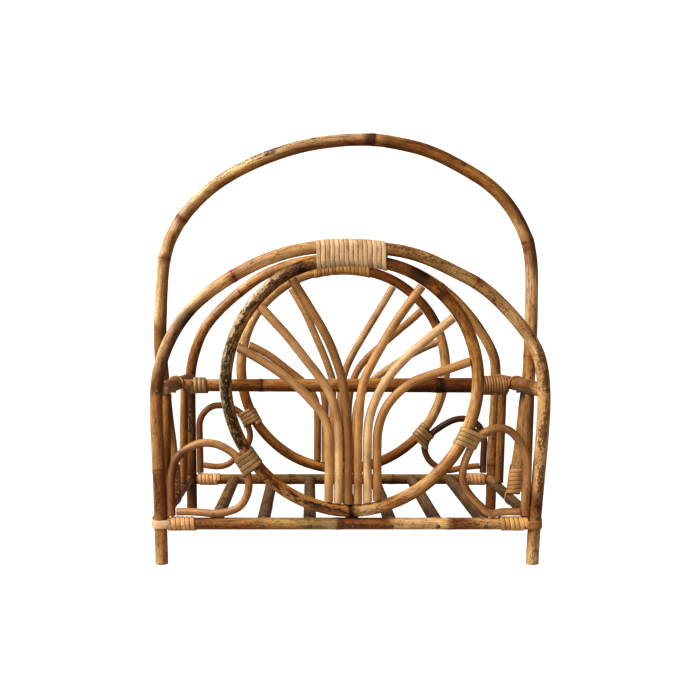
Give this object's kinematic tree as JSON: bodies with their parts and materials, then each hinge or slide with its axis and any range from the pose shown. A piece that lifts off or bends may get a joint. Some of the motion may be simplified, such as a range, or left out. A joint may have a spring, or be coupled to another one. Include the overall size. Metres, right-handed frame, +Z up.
{
  "type": "magazine basket",
  "caption": "Open rattan magazine rack with bent arches, rings, fans of sticks and scrolls, bound with cane, and a tall handle between its compartments.",
  "frame": {"origin": "on the floor, below the middle of the rack", "axes": "+Z up, +X to the right along the front panel, +Y towards the back panel"},
  "size_m": [0.4343, 0.2664, 0.4531],
  "materials": {
    "warm_bark": "golden brown rattan with its bark, satin",
    "dark_bark": "dark mottled rattan, satin",
    "scroll_bark": "orange brown rattan, satin",
    "grey_bark": "greyish brown rattan, dull",
    "pale_peel": "pale peeled rattan, satin",
    "cane": "pale flat cane strip, satin"
  },
  "bodies": {
    "root": {"front_arch": "warm_bark", "front_ring": "dark_bark", "front_fan_stick_1": "pale_peel", "front_fan_stick_2": "pale_peel", "front_fan_stick_3": "pale_peel", "front_fan_stick_4": "pale_peel", "front_fan_stick_5": "pale_peel", "front_fan_stick_6": "pale_peel", "front_scroll_left": "scroll_bark", "front_scroll_lashing_left": "cane", "front_rail_lashing_left": "cane", "front_scroll_right": "scroll_bark", "front_scroll_lashing_right": "cane", "front_rail_lashing_right": "cane", "front_bottom_rail": "warm_bark", "front_top_lashing": "cane", "back_arch": "warm_bark", "back_ring": "dark_bark", "back_fan_stick_1": "pale_peel", "back_fan_stick_2": "pale_peel", "back_fan_stick_3": "pale_peel", "back_fan_stick_4": "pale_peel", "back_fan_stick_5": "pale_peel", "back_fan_stick_6": "pale_peel", "back_scroll_left": "scroll_bark", "back_scroll_lashing_left": "cane", "back_rail_lashing_left": "cane", "back_scroll_right": "scroll_bark", "back_scroll_lashing_right": "cane", "back_rail_lashing_right": "cane", "back_bottom_rail": "warm_bark", "back_top_lashing": "cane", "floor_slat_1": "grey_bark", "floor_slat_2": "grey_bark", "floor_slat_3": "grey_bark", "floor_slat_4": "grey_bark", "floor_slat_5": "grey_bark", "floor_slat_6": "grey_bark", "floor_slat_7": "grey_bark", "side_bottom_rail_left": "grey_bark", "side_top_rail_left": "warm_bark", "side_post_front_left": "warm_bark", "side_post_back_left": "warm_bark", "handle_foot_lashing_left": "cane", "cross_rail_lashing_left": "cane", "side_bottom_rail_right": "grey_bark", "side_top_rail_right": "warm_bark", "side_post_front_right": "warm_bark", "side_post_back_right": "warm_bark", "handle_foot_lashing_right": "cane", "cross_rail_lashing_right": "cane", "handle": "warm_bark", "cross_rail": "dark_bark"}
  },
  "joints": []
}
